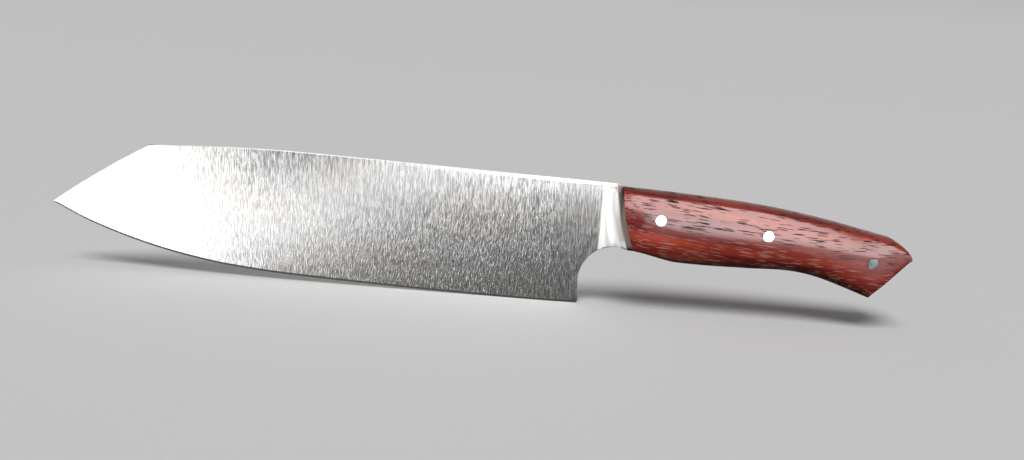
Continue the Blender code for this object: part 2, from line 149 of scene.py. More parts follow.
# Tang and pins
TANG_THICKNESS = 2.6 * mm
TANG_HEIGHT_AT_BOLSTER = 15.0 * mm
TANG_HEIGHT_AT_END = 10.0 * mm
TANG_END_FROM_BUTT = 13.0 * mm
TANG_ROOT = 6.0 * mm
PIN_DIAMETER = 4.2 * mm
# Distance behind the heel and height, in mm
PIN_PLACES = ((28.3, 38.0), (70.4, 35.3), (112.8, 27.8))

# Gaps: hidden ones as in the solids, visible ones finer, because the photograph shows none
FIT = 0.3 * mm
JOINT_GAP = 0.12 * mm
SEAM_GAP = 0.06 * mm
PIN_GAP = 0.15 * mm

# Mesh fineness: towards the heel the blade's columns lean forward at the spine, by FAN_LEAN in the
# end, and SUPPORT holds one row of points close above the cutting bevel
FAN_LEAN = 9.0 * mm
FAN_LENGTH = 60.0 * mm
BLADE_COLUMNS = 150
HEEL_COLUMNS = 44
FLARE_COLUMNS = 30
SHOULDER_COLUMNS = 6
BAND_COLUMNS = 5
HANDLE_COLUMNS = 110
BUTT_COLUMNS = 44
CROWN_ROWS = 8
RIDGE_ROWS = 8
UPPER_SIDE_ROWS = 22
LOWER_SIDE_ROWS = 32
FOOT_ROWS = 6
TANG_STEPS = 24
PIN_SIDES = 96
ROD_LENGTH = 1.0
SUPPORT = 0.06 * mm
SHARP_ANGLE = math.radians(30)

CENTRE = (BUTT_FROM_HEEL - BLADE_LENGTH) / 2
BOLSTER_START = PLUNGE_FROM_HEEL - CENTRE
TOP_ROWS = CROWN_ROWS + RIDGE_ROWS
LAST_ROW = TOP_ROWS + UPPER_SIDE_ROWS + LOWER_SIDE_ROWS


def mix(a, b, share):
    return a + (b - a) * share


def curve(points, x):
    """Height at x of a smooth line through (x, height) points, straight beyond its ends."""
    slopes = []
    for i in range(len(points)):
        before = points[max(i - 1, 0)]
        after = points[min(i + 1, len(points) - 1)]
        slopes.append((after[1] - before[1]) / (after[0] - before[0]))
    if x <= points[0][0]:
        return points[0][1] + slopes[0] * (x - points[0][0])
    for i in range(len(points) - 1):
        (x0, y0), (x1, y1) = points[i], points[i + 1]
        if x <= x1:
            span = x1 - x0
            t = (x - x0) / span
            start = (2 * t**3 - 3 * t**2 + 1) * y0 + (t**3 - 2 * t**2 + t) * span * slopes[i]
            end = (3 * t**2 - 2 * t**3) * y1 + (t**3 - t**2) * span * slopes[i + 1]
            return start + end
    return points[-1][1] + slopes[-1] * (x - points[-1][0])


# Outline of the blade

def edge_height(p):
    """Cutting edge: nearly flat behind, with a belly that runs out straight to the tip."""
    if p > 0:
        return EDGE_LINE[0][1] * mm
    points = [(share * BLADE_LENGTH, h * mm) for share, h in EDGE_LINE]
    return curve(points + [(BLADE_LENGTH, TIP_HEIGHT)], -p)


def spine_height(p):
    """Spine without its clipped tip: a crest, with a slow fall to both ends."""
    from_crest = p + CREST_FROM_HEEL
    if from_crest < 0:
        share = -from_crest / (BLADE_LENGTH - CLIP_LENGTH - CREST_FROM_HEEL)
        fall = SPINE_HEIGHT_AT_CREST - SPINE_HEIGHT_AT_CLIP
        return SPINE_HEIGHT_AT_CREST - fall * share**SPINE_FALL_POWER_FRONT
    share = from_crest / (CREST_FROM_HEEL + JOINT_FROM_HEEL)
    fall = SPINE_HEIGHT_AT_CREST - SPINE_HEIGHT_AT_BOLSTER
    return SPINE_HEIGHT_AT_CREST - fall * share**SPINE_FALL_POWER_REAR


def blade_top(p):
    """Spine, and in front of its break the clip down to the tip."""
    share = (p + BLADE_LENGTH) / CLIP_LENGTH
    if share >= 1:
        return spine_height(p)
    chord = mix(TIP_HEIGHT + TIP_BLUNTNESS, SPINE_HEIGHT_AT_CLIP, share)
    return chord + 4 * CLIP_BOW * share * (1 - share)


def blade_half_thickness(p, h):
    """Flat grind from the spine to the edge, ending in the small cutting bevel."""
    along = min(max(-p / BLADE_LENGTH, 0.0), 1.0)
    spine = mix(SPINE_THICKNESS_AT_HEEL, SPINE_THICKNESS_AT_TIP, along) / 2
    edge = edge_height(p)
    above = max(h - edge, 0.0)
    ground = mix(THICKNESS_BEHIND_EDGE / 2, spine, above / (spine_height(p) - edge))
    return ground * min(above / EDGE_BEVEL_HEIGHT, 1.0)


# Heel, finger notch and joint

def notch_point(angle):
    """Point of the notch's arc: angle 0 is its foremost point, a right angle its top."""
    centre_p = NOTCH_RADIUS - HEEL_LEAN
    centre_h = NOTCH_TOP_HEIGHT - NOTCH_RADIUS
    return (centre_p - NOTCH_RADIUS * math.cos(angle), centre_h + NOTCH_RADIUS * math.sin(angle))


def notch_height(p):
    """Height of the notch's arc at p."""
    reach = (NOTCH_RADIUS - HEEL_LEAN - p) / NOTCH_RADIUS
    return NOTCH_TOP_HEIGHT - NOTCH_RADIUS + NOTCH_RADIUS * math.sqrt(1 - reach**2)


def heel_path():
    """Lower outline from the cutting edge round the heel and up the notch to the plunge line."""
    start_angle = math.pi / 2
    points = []
    rounding_steps = HEEL_COLUMNS // 4
    for i in range(rounding_steps + 1):
        angle = start_angle * i / rounding_steps
        p = -HEEL_ROUNDING * (1 - math.sin(angle))
        points.append((p, edge_height(p) + HEEL_ROUNDING * (1 - math.cos(angle))))
    heel, foremost = points[-1], notch_point(0.0)
    rise_steps = HEEL_COLUMNS // 5
    for i in range(1, rise_steps):
        share = i / rise_steps
        points.append((mix(heel[0], foremost[0], share), mix(heel[1], foremost[1], share)))
    end_angle = math.acos((NOTCH_RADIUS - HEEL_LEAN - PLUNGE_FROM_HEEL) / NOTCH_RADIUS)
    arc_steps = HEEL_COLUMNS - rounding_steps - rise_steps
    points += [notch_point(end_angle * i / arc_steps) for i in range(arc_steps + 1)]
    return points


def joint_place(h):
    """Place of the joint between bolster and wood at height h."""
    below = JOINT_HEIGHT_TOP - h
    return JOINT_FROM_HEEL + JOINT_SLOPE * below + below**2 / (2 * JOINT_RADIUS)


# Outline of the bolster and the handle

JOINT_BOTTOM_FROM_HEEL = joint_place(JOINT_HEIGHT_BOTTOM)
JOINT_MIDDLE_FROM_HEEL = joint_place((JOINT_HEIGHT_TOP + JOINT_HEIGHT_BOTTOM) / 2)


def handle_place(share):
    """Place at a share of the handle's length, measured along its underside."""
    return mix(JOINT_BOTTOM_FROM_HEEL, BUTT_FROM_HEEL, share)


def butt_corner():
    return handle_place(BUTT_CORNER_SHARE)


def top_height(p):
    """Top outline of the bolster's band and the handle."""
    band_start = JOINT_FROM_HEEL - BAND_WIDTH / 2
    if p < JOINT_FROM_HEEL:
        share = max(p - band_start, 0.0) / (JOINT_FROM_HEEL - band_start)
        return spine_height(p) - BAND_EDGE_DROP * share**2
    points = [(JOINT_FROM_HEEL, JOINT_HEIGHT_TOP)]
    length = BUTT_FROM_HEEL - JOINT_FROM_HEEL
    points += [(JOINT_FROM_HEEL + share * length, h * mm) for share, h in HANDLE_TOP]
    height = curve(points, p)
    round_start = BUTT_FROM_HEEL - BUTT_ROUND_LENGTH
    if p <= round_start:
        return height
    share = min((p - round_start) / BUTT_ROUND_LENGTH, 1.0)
    full_drop = curve(points, BUTT_FROM_HEEL) - BUTT_APEX_HEIGHT - BUTT_APEX_THICKNESS
    return height - full_drop * (1 - (1 - share**BUTT_ROUND_POWER) ** (1 / BUTT_ROUND_POWER))


def bottom_height(p):
    """Lower outline of the bolster and the handle, with the slightly bowed cut at the butt."""
    notch_top = NOTCH_RADIUS - HEEL_LEAN
    if p <= notch_top:
        return notch_height(p)
    if p >= butt_corner():
        share = (p - butt_corner()) / (BUTT_FROM_HEEL - butt_corner())
        return mix(BUTT_CORNER_HEIGHT, BUTT_APEX_HEIGHT, share) - 4 * BUTT_CUT_BOW * share * (1 - share)
    points = [(notch_top, NOTCH_TOP_HEIGHT), (JOINT_BOTTOM_FROM_HEEL, JOINT_HEIGHT_BOTTOM)]
    points += [(handle_place(share), h * mm) for share, h in HANDLE_BOTTOM]
    points.append((butt_corner(), BUTT_CORNER_HEIGHT))
    return curve(points, p)


def handle_share(p):
    return (p - JOINT_FROM_HEEL) / (BUTT_FROM_HEEL - JOINT_FROM_HEEL)


def half_width(p):
    """Half width: the wood swells behind the joint, and the bolster's band falls towards it."""
    in_front = max(JOINT_MIDDLE_FROM_HEEL - p, 0.0)
    return curve(HALF_WIDTHS, handle_share(p + in_front)) * mm + BAND_FALL * in_front


def ridge_inset(p):
    """Step in from the widest line to the ridge that bounds the handle's top."""
    return curve(RIDGE_INSETS, handle_share(p)) * mm


# Cross-sections, as one row list from the top middle to the bottom middle of one side

def bend(start, corner, end, share):
    """Point of the round stretch that replaces a corner."""
    return tuple(
        (1 - share) ** 2 * a + 2 * share * (1 - share) * b + share**2 * c
        for a, b, c in zip(start, corner, end)
    )


def handle_section(p, height):
    """Rows (y, depth below the top): crowned top, rounded ridge, swelling side, round underside."""
    width = half_width(p)
    power = curve(UNDERSIDE_POWERS, handle_share(p))
    drop = min(curve(RIDGE_DROPS, handle_share(p)) * mm, height * MOST_DROP_PER_HEIGHT)
    inset = ridge_inset(p)
    ridge = width - inset
    widest = curve(WIDEST_SHARES, handle_share(p)) * height
    cut = min(RIDGE_ROUNDING, height * MOST_ROUNDING_PER_HEIGHT)

    def crown(y):
        return drop * (y / ridge) ** 2

    def side(depth):
        return width - inset * ((widest - depth) / (widest - drop)) ** 2

    rows = [(y, crown(y)) for y in ((ridge - cut) * i / CROWN_ROWS for i in range(CROWN_ROWS))]
    start = (ridge - cut, crown(ridge - cut))
    end = (side(drop + cut), drop + cut)
    rows += [bend(start, (ridge, drop), end, i / RIDGE_ROWS) for i in range(RIDGE_ROWS)]
    for i in range(UPPER_SIDE_ROWS):
        depth = mix(drop + cut, widest, i / UPPER_SIDE_ROWS)
        rows.append((side(depth), depth))
    for i in range(LOWER_SIDE_ROWS + 1):
        angle = math.pi / 2 * i / LOWER_SIDE_ROWS
        y = width * max(math.cos(angle), 0.0) ** (2 / power)
        rows.append((y, widest + (height - widest) * math.sin(angle) ** (2 / power)))
    rows[-1] = (0.0, height)
    return rows


def plate_column(top, bottom, foot, bevelled):
    """Column of blade points (p, y, h) from a point of the spine to a point of the lower outline.

    The foot is the cutting bevel, or else the small rounding of the heel and the notch.
    """
    length = top[1] - bottom[1]
    rounding = min(SPINE_ROUNDING, length * MOST_SPINE_ROUNDING_PER_HEIGHT)
    face_rows = LAST_ROW - TOP_ROWS - FOOT_ROWS
    column = []
    for row in range(LAST_ROW + 1):
        closing = 1.0
        if row < TOP_ROWS:
            angle = math.pi / 2 * row / TOP_ROWS
            depth = rounding * (1 - math.cos(angle))
            closing = math.sin(angle)
        elif row < TOP_ROWS + face_rows:
            depth = mix(rounding, length - foot - SUPPORT, (row - TOP_ROWS) / (face_rows - 1))
        else:
            angle = math.pi / 2 * (row - TOP_ROWS - face_rows) / FOOT_ROWS
            if bevelled:
                depth = length - foot * (LAST_ROW - row) / FOOT_ROWS
            else:
                depth = length - foot * (1 - math.sin(angle))
                closing = max(math.cos(angle), 0.0) ** 0.5
        share = depth / length
        p = mix(top[0], bottom[0], share)
        h = mix(top[1], bottom[1], share)
        half = 0.0 if row == LAST_ROW else closing * blade_half_thickness(p, h)
        column.append((p, half, h))
    return column


# The forging's skin

def blade_columns():
    """Columns from the tip to the heel: they start upright and fan out towards the notch."""
    columns = []
    break_p = CLIP_LENGTH - BLADE_LENGTH
    clip_columns = BLADE_COLUMNS // 3
    places = [mix(-BLADE_LENGTH, break_p, i / clip_columns) for i in range(clip_columns)]
    rest = BLADE_COLUMNS - clip_columns
    places += [mix(break_p, -HEEL_ROUNDING, i / rest) for i in range(rest + 1)]
    for p in places:
        lean = FAN_LEAN * max(1 + p / FAN_LENGTH, 0.0) ** 2
        foot = min(EDGE_BEVEL_HEIGHT, (blade_top(p) - edge_height(p)) * MOST_BEVEL_PER_HEIGHT)
        top = (p - lean, blade_top(p - lean))
        columns.append(plate_column(top, (p, edge_height(p)), foot, True))
    first_top = columns[-1][0][0]
    path = heel_path()
    for i, bottom in enumerate(path[1:], start=1):
        p = mix(first_top, PLUNGE_FROM_HEEL, i / (len(path) - 1))
        half = blade_half_thickness(*bottom)
        foot = min(NOTCH_EDGE_ROUNDING, half)
        columns.append(plate_column((p, blade_top(p)), bottom, foot, False))
    return columns


def neck_rows(height, neck_thickness):
    """Rows (y, depth) of the bolster's neck: a plate with a rounded spine and a rounded underside."""
    face_rows = LAST_ROW - TOP_ROWS - FOOT_ROWS
    rows = []
    for row in range(LAST_ROW + 1):
        closing = 1.0
        if row < TOP_ROWS:
            angle = math.pi / 2 * row / TOP_ROWS
            depth = SPINE_ROUNDING * (1 - math.cos(angle))
            closing = math.sin(angle)
        elif row <= TOP_ROWS + face_rows:
            depth = mix(SPINE_ROUNDING, height - NOTCH_EDGE_ROUNDING, (row - TOP_ROWS) / face_rows)
        else:
            angle = math.pi / 2 * (row - TOP_ROWS - face_rows) / FOOT_ROWS
            depth = height - NOTCH_EDGE_ROUNDING * (1 - math.sin(angle))
            closing = 0.0 if row == LAST_ROW else math.cos(angle) ** 0.5
        rows.append((closing * neck_thickness(depth / height) / 2, depth))
    return rows


def bolster_column(flare, along):
    """Column of the bolster: flare 0 is the plate of the neck and 1 the handle's full section.

    along moves it from the neck (0) to the band (1).
    """
    height = JOINT_HEIGHT_TOP - JOINT_HEIGHT_BOTTOM
    full = handle_section(JOINT_MIDDLE_FROM_HEEL - BAND_WIDTH, height)
    neck = neck_rows(height, lambda s: mix(NECK_THICKNESS_AT_SPINE, NECK_THICKNESS_AT_NOTCH, s))
    column = []
    for (neck_y, neck_depth), (full_y, full_depth) in zip(neck, full):
        share = mix(neck_depth, full_depth, along) / height
        band = joint_place(JOINT_HEIGHT_TOP - share * height) - BAND_WIDTH
        plunge = mix(PLUNGE_WIDTH_AT_SPINE, PLUNGE_WIDTH_AT_NOTCH, share)
        p = mix(PLUNGE_FROM_HEEL + plunge, band, along)
        column.append((p, mix(neck_y, full_y, flare), mix(top_height(p), bottom_height(p), share)))
    return column


def full_column(place):
    """Column of the full handle section; place(share) gives each row's place along the knife."""
    nominal = place(0.5)
    height = top_height(nominal) - bottom_height(nominal)
    column = []
    for y, depth in handle_section(nominal, height):
        share = depth / height
        p = place(share)
        column.append((p, y, mix(top_height(p), bottom_height(p), share)))
    return column


def joint_at(share):
    return joint_place(mix(JOINT_HEIGHT_TOP, JOINT_HEIGHT_BOTTOM, share))


def flare_share(along):
    """Concave rise of the bolster from the neck to the band."""
    return (1 - math.sqrt(1 - FLARE_ARC_SHARE * along**2)) / (1 - math.sqrt(1 - FLARE_ARC_SHARE))


def band_column(back):
    """Column of the flush band, a distance in front of the joint."""
    return full_column(lambda share: joint_at(share) - back)


def forging_columns():
    columns = blade_columns()
    columns.append(bolster_column(0.0, 0.0))
    last_along = 1 - 0.5 / FLARE_COLUMNS
    for i in range(1, FLARE_COLUMNS):
        along = i / FLARE_COLUMNS
        columns.append(bolster_column(flare_share(along), along))
    start = bolster_column(flare_share(last_along), last_along)
    corner = bolster_column(1.0, 1.0)
    end = band_column(BAND_WIDTH - BAND_EDGE_ROUNDING)
    for i in range(SHOULDER_COLUMNS + 1):
        share = i / SHOULDER_COLUMNS
        columns.append([bend(a, b, c, share) for a, b, c in zip(start, corner, end)])
    for i in range(1, BAND_COLUMNS + 1):
        columns.append(band_column((BAND_WIDTH - BAND_EDGE_ROUNDING) * (1 - i / BAND_COLUMNS)))
    return columns


def handle_columns(gap):
    """Columns of the whole handle from the joint to the butt, closer together at the butt."""
    shares = [BUTT_CORNER_SHARE * i / HANDLE_COLUMNS for i in range(HANDLE_COLUMNS)]
    for i in range(BUTT_COLUMNS + 1):
        shares.append(mix(BUTT_CORNER_SHARE, 1.0, math.sin(math.pi / 2 * i / BUTT_COLUMNS)))
    return [
        full_column(lambda share, along=along: mix(joint_at(share) + gap, BUTT_FROM_HEEL, along))
        for along in shares
    ]


# Meshes

def mesh_from(name, bm):
    bmesh.ops.recalc_face_normals(bm, faces=bm.faces)
    mesh = bpy.data.meshes.new(name)
    bm.to_mesh(mesh)
    bm.free()
    return mesh


def make_object(name, mesh):
    obj = bpy.data.objects.new(name, mesh)
    scene.collection.objects.link(obj)
    return obj


def skin(name, columns):
    """Closed mesh through the columns and their mirror images, with a flat ladder at both ends."""
    bm = bmesh.new()
    near, far = [], []
    for column in columns:
        side = [bm.verts.new((p - CENTRE, -y, h)) for p, y, h in column]
        other = [bm.verts.new((p - CENTRE, y, h)) for p, y, h in column[1:-1]]
        near.append(side)
        far.append([side[0]] + other + [side[-1]])
    for grid in (near, far):
        for a, b in zip(grid, grid[1:]):
            for row in range(LAST_ROW):
                bm.faces.new((a[row], a[row + 1], b[row + 1], b[row]))
    for end in (0, -1):
        a, b = near[end], far[end]
        for row in range(LAST_ROW):
            corners = (a[row], a[row + 1], b[row + 1], b[row])
            bm.faces.new(list(dict.fromkeys(corners)))
    return mesh_from(name, bm)


def half_skin(name, columns, side, inner):
    """Closed mesh through the columns on one side of the knife, cut off flat at inner from the middle."""
    bm = bmesh.new()
    outer = [[bm.verts.new((p - CENTRE, side * max(y, inner), h)) for p, y, h in c] for c in columns]
    for a, b in zip(outer, outer[1:]):
        for row in range(LAST_ROW):
            bm.faces.new((a[row], a[row + 1], b[row + 1], b[row]))
    bm.faces.new(outer[0])
    bm.faces.new(outer[-1])
    top = [column[0] for column in outer]
    bottom = [column[-1] for column in outer]
    for i in range(len(outer) - 1):
        bm.faces.new((top[i], top[i + 1], bottom[i + 1], bottom[i]))
    return mesh_from(name, bm)


def prism(name, outline, half_depth):
    """Solid of a closed (p, h) outline, from -half_depth to +half_depth across the knife."""
    bm = bmesh.new()
    front = [bm.verts.new((p - CENTRE, -half_depth, h)) for p, h in outline]
    back = [bm.verts.new((p - CENTRE, half_depth, h)) for p, h in outline]
    bm.faces.new(front)
    bm.faces.new(back[::-1])
    for i in range(len(outline)):
        j = (i + 1) % len(outline)
        bm.faces.new((front[i], front[j], back[j], back[i]))
    return mesh_from(name, bm)


def rod(name, place, radius):
    """Round rod across the knife at a (p, h) place, long enough to reach past both sides."""
    bm = bmesh.new()
    bmesh.ops.create_cone(
        bm,
        cap_ends=True,
        segments=PIN_SIDES,
        radius1=radius,
        radius2=radius,
        depth=ROD_LENGTH,
        matrix=Matrix.Rotation(math.pi / 2, 4, "X"),
    )
    bmesh.ops.translate(bm, vec=(place[0] - CENTRE, 0, place[1]), verts=bm.verts)
    return mesh_from(name, bm)


def apply_boolean(obj, operation, mesh):
    """Cuts, joins or crops obj with a helper mesh, and bakes the result into its mesh."""
    helper = make_object(f"{obj.name}_helper", mesh)
    modifier = obj.modifiers.new("boolean", "BOOLEAN")
    modifier.operation = operation
    modifier.solver = "EXACT"
    modifier.object = helper
    depsgraph = bpy.context.evaluated_depsgraph_get()
    result = bpy.data.meshes.new_from_object(obj.evaluated_get(depsgraph))
    obj.modifiers.clear()
    obj.data = result
    bpy.data.objects.remove(helper)


def finish_piece(obj, material, node):
    """Shades a piece, gives it its material, hangs it on the root body and hides the CAD node it stands
    in for.
    """
    obj.data.materials.clear()
    obj.data.materials.append(material)
    obj.data.shade_smooth()
    obj.data.set_sharp_from_angle(angle=SHARP_ANGLE)
    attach(obj, "root")
    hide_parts(node)


def pin_points():
    return [(p * mm, h * mm) for p, h in PIN_PLACES]


def tang_outline(start, grow):
    """Outline of the tang, whose middle line runs through the pins, grown by a clearance."""
    end = BUTT_FROM_HEEL - TANG_END_FROM_BUTT + grow
    upper, lower = [], []
    for i in range(TANG_STEPS + 1):
        p = mix(start, end, i / TANG_STEPS)
        share = (p - JOINT_FROM_HEEL) / (end - JOINT_FROM_HEEL)
        half = mix(TANG_HEIGHT_AT_BOLSTER, TANG_HEIGHT_AT_END, share) / 2 + grow
        middle = curve(pin_points(), p)
        upper.append((p, middle + half))
        lower.append((p, middle - half))
    return lower + upper[::-1]


# Material helpers

class Shader:
    """Short way to add and link the nodes of one material."""

    def __init__(self, name, roughness, metallic):
        self.material = bpy.data.materials.new(name)
        self.material.use_nodes = True
        self.nodes = self.material.node_tree.nodes
        self.links = self.material.node_tree.links
        self.surface = self.nodes["Principled BSDF"]
        self.surface.inputs["Roughness"].default_value = roughness
        self.surface.inputs["Metallic"].default_value = metallic
        self.place = self.nodes.new("ShaderNodeTexCoord").outputs["Object"]

    def put(self, socket, value):
        if isinstance(value, bpy.types.NodeSocket):
            self.links.new(value, socket)
        else:
            socket.default_value = value

    def math(self, operation, a, b=0.0, c=0.0):
        node = self.nodes.new("ShaderNodeMath")
        node.operation = operation
        for socket, value in zip(node.inputs, (a, b, c)):
            self.put(socket, value)
        return node.outputs[0]

    def plus(self, a, b):
        return self.math("ADD", a, b)

    def minus(self, a, b):
        return self.math("SUBTRACT", a, b)

    def times(self, product, *factors):
        for factor in factors:
            product = self.math("MULTIPLY", product, factor)
        return product

    def ramp(self, value, low, high, out_low=0.0, out_high=1.0):
        """Straight map of value from low..high to out_low..out_high, clamped."""
        node = self.nodes.new("ShaderNodeMapRange")
        names = ("Value", "From Min", "From Max", "To Min", "To Max")
        for name, item in zip(names, (value, low, high, out_low, out_high)):
            self.put(node.inputs[name], item)
        return node.outputs["Result"]

    def fade(self, share, start, end):
        """Number that runs from start to end as the share runs from 0 to 1."""
        return self.ramp(share, 0.0, 1.0, start, end)

    def split(self, vector):
        """X, Y and Z of a vector."""
        node = self.nodes.new("ShaderNodeSeparateXYZ")
        self.links.new(vector, node.inputs[0])
        return node.outputs["X"], node.outputs["Y"], node.outputs["Z"]

    def join(self, x, y, z):
        node = self.nodes.new("ShaderNodeCombineXYZ")
        for name, value in (("X", x), ("Y", y), ("Z", z)):
            self.links.new(value, node.inputs[name])
        return node.outputs[0]

    def upward(self):
        """How far the surface faces up: 1 on a level top, 0 on an upright side, below 0 underneath."""
        shape = self.nodes.new("ShaderNodeNewGeometry")
        return self.split(shape.outputs["True Normal"])[2]

    def scaled(self, vector, sizes, lean=0.0):
        """Vector turned by a lean in degrees, then measured in units of sizes, in millimetres."""
        node = self.nodes.new("ShaderNodeMapping")
        node.vector_type = "POINT"
        self.put(node.inputs["Vector"], vector)
        node.inputs["Rotation"].default_value = (0, math.radians(lean), 0)
        scaling = self.nodes.new("ShaderNodeVectorMath")
        scaling.operation = "MULTIPLY"
        self.put(scaling.inputs[0], node.outputs["Vector"])
        scaling.inputs[1].default_value = tuple(1 / (size * mm) for size in sizes)
        return scaling.outputs["Vector"]

    def noise(self, vector, detail=2.0, roughness=0.5):
        node = self.nodes.new("ShaderNodeTexNoise")
        self.put(node.inputs["Vector"], vector)
        node.inputs["Scale"].default_value = 1.0
        node.inputs["Detail"].default_value = detail
        node.inputs["Roughness"].default_value = roughness
        return node.outputs["Fac"]

    def cells(self, vector):
        """Distance to the nearest cell point, and a random number of that cell."""
        node = self.nodes.new("ShaderNodeTexVoronoi")
        self.put(node.inputs["Vector"], vector)
        node.inputs["Scale"].default_value = 1.0
        split = self.nodes.new("ShaderNodeSeparateColor")
        self.links.new(node.outputs["Color"], split.inputs["Color"])
        return node.outputs["Distance"], split.outputs["Red"]

    def blend(self, share, a, b):
        """Colour that runs from a to b as the share runs from 0 to 1."""
        node = self.nodes.new("ShaderNodeMix")
        node.data_type = "RGBA"
        self.put(node.inputs["Factor"], share)
        for name, value in (("A", a), ("B", b)):
            socket = next(s for s in node.inputs if s.name == name and s.type == "RGBA")
            self.put(socket, (*value, 1.0) if isinstance(value, tuple) else value)
        return next(s for s in node.outputs if s.type == "RGBA")

    def multiply(self, a, b):
        """Product of two colours."""
        node = self.nodes.new("ShaderNodeVectorMath")
        node.operation = "MULTIPLY"
        self.put(node.inputs[0], a)
        self.put(node.inputs[1], b)
        return node.outputs["Vector"]

    def bump(self, height, distance, strength=1.0):
        node = self.nodes.new("ShaderNodeBump")
        self.put(node.inputs["Height"], height)
        node.inputs["Distance"].default_value = distance
        node.inputs["Strength"].default_value = strength
        return node.outputs["Normal"]

    def set(self, **values):
        for name, value in values.items():
            socket = self.surface.inputs[name.replace("_", " ")]
            self.put(socket, (*value, 1.0) if isinstance(value, tuple) else value)


# Satin steel: each set of strokes has its sizes along, across and up the blade in mm, and its lean
# in degrees, and each pair of tones its start and end

STROKES = (((0.24, 3.0, 5.0), 2), ((0.38, 3.0, 2.7), 7), ((0.40, 3.0, 2.4), -8))
STROKE_DEPTH = 0.052 * mm
STROKE_TONE_RANGE = (0.84, 1.16)
LONG_STROKE_WEIGHT = 0.5
SHORT_STROKE_WEIGHT = 0.35
CROSSING_WEIGHT = 2.2
CROSSING_STARTS = (-100 * mm, 0.0)
CROSSING_SINKS = (48 * mm, 22 * mm)
CROSSING_ENDS = (28 * mm, 43 * mm)
CROSSING_LEFT = 0.3
BEVEL_FACING = (-0.08, -0.14)
BEVEL_HEIGHTS = (30 * mm, 26 * mm)
BOLSTER_CHANGE = (BOLSTER_START - 0.8 * mm, BOLSTER_START + 0.4 * mm)
LATE_PLACES = (BOLSTER_START - 24 * mm, BOLSTER_START - 12 * mm)
LATE_HEIGHTS = (16 * mm, 34 * mm)
STEEL_TONES = ((0.36, 0.355, 0.35), (0.62, 0.615, 0.61))
PATCH_RANGE = (0.35, 0.65)
TINT_SIZES = (45, 45, 22)
STEEL_TINTS = ((1.0, 0.975, 0.945), (0.95, 0.975, 1.0))
# Bolster tones from its bottom to its top: painted shade below and painted light above
BOLSTER_SHADE_TONES = ((0.44, 0.435, 0.43), (0.60, 0.595, 0.59))
BOLSTER_SHADE_HEIGHTS = (24 * mm, 42 * mm)
# Colour of the band next to the wood: painted shade with a painted reflection of the wood
BAND_SHADE_TONE = (0.14, 0.112, 0.098)
BAND_CHANGE = (-0.05 * mm, 0.35 * mm)
BLADE_ROUGHNESS = (0.15, 0.20)
BOLSTER_ROUGHNESS = 0.36
STROKES_LEFT_ON_BOLSTER = 0.05
STROKES_LEFT_ON_BEVEL = 0.15
STROKES_LEFT_NEAR_BOLSTER = 0.35


def satin_steel():
    """Blade and bolster: ground from spine to edge, with strokes a few millimetres long."""
    s = Shader("satin_steel", roughness=0.2, metallic=1.0)
    x, _, z = s.split(s.place)
    long_strokes, left, right = (
        s.noise(s.scaled(s.place, sizes, lean), detail=1.0) for sizes, lean in STROKES
    )
    short_strokes = s.times(s.plus(left, right), 0.5)
    # The short, crossing strokes show most in the rear and lower part of the blade
    crossing = s.times(
        s.ramp(x, *CROSSING_STARTS),
        s.ramp(z, *CROSSING_SINKS),
        s.ramp(x, *CROSSING_ENDS, 1.0, CROSSING_LEFT),
    )
    # The cutting bevel is honed smooth, and the bolster has a finer satin than the blade
    bevel = s.times(s.ramp(s.upward(), *BEVEL_FACING), s.ramp(z, *BEVEL_HEIGHTS))
    bolster = s.ramp(x, *BOLSTER_CHANGE)
    # The upper blade is smoother over the last stretch before the bolster
    late = s.times(s.ramp(x, *LATE_PLACES), s.ramp(z, *LATE_HEIGHTS))
    rough_part = s.times(
        s.fade(bolster, 1.0, STROKES_LEFT_ON_BOLSTER),
        s.fade(bevel, 1.0, STROKES_LEFT_ON_BEVEL),
        s.fade(late, 1.0, STROKES_LEFT_NEAR_BOLSTER),
    )
    long_weight = s.times(rough_part, LONG_STROKE_WEIGHT)
    short_weight = s.times(s.plus(s.times(crossing, CROSSING_WEIGHT), SHORT_STROKE_WEIGHT), rough_part)
    strokes = s.plus(s.times(long_strokes, long_weight), s.times(short_strokes, short_weight))
    tone = s.ramp(s.plus(long_strokes, short_strokes), *STROKE_TONE_RANGE)
    contrast = s.times(s.minus(tone, 0.5), rough_part)
    colour = s.blend(s.plus(contrast, 0.5), *STEEL_TONES)
    tint = s.noise(s.scaled(s.place, TINT_SIZES), detail=0.0)
    colour = s.multiply(colour, s.blend(s.ramp(tint, *PATCH_RANGE), *STEEL_TINTS))
    # The bolster is painted darker towards its bottom and lighter towards its top: painted shade and
    # painted light
    bolster_shade = s.blend(s.ramp(z, *BOLSTER_SHADE_HEIGHTS), *BOLSTER_SHADE_TONES)
    colour = s.blend(bolster, colour, bolster_shade)
    # The band next to the wood is painted dark and brownish: painted shade, with a painted reflection of
    # the wood's brown
    below = s.minus(JOINT_HEIGHT_TOP, z)
    bow = s.math("DIVIDE", s.times(below, below), 2 * JOINT_RADIUS)
    band_start = JOINT_FROM_HEEL - BAND_WIDTH - CENTRE
    line = s.plus(s.math("MULTIPLY_ADD", below, JOINT_SLOPE, band_start), bow)
    band = s.ramp(s.minus(x, line), *BAND_CHANGE)
    colour = s.blend(band, colour, BAND_SHADE_TONE)
    roughness = s.fade(bolster, s.fade(tone, *BLADE_ROUGHNESS), BOLSTER_ROUGHNESS)
    s.set(Base_Color=colour, Roughness=roughness, Normal=s.bump(strokes, STROKE_DEPTH))
    return s.material


# Red hardwood: sizes along, across and up the handle in mm, and tones from start to end

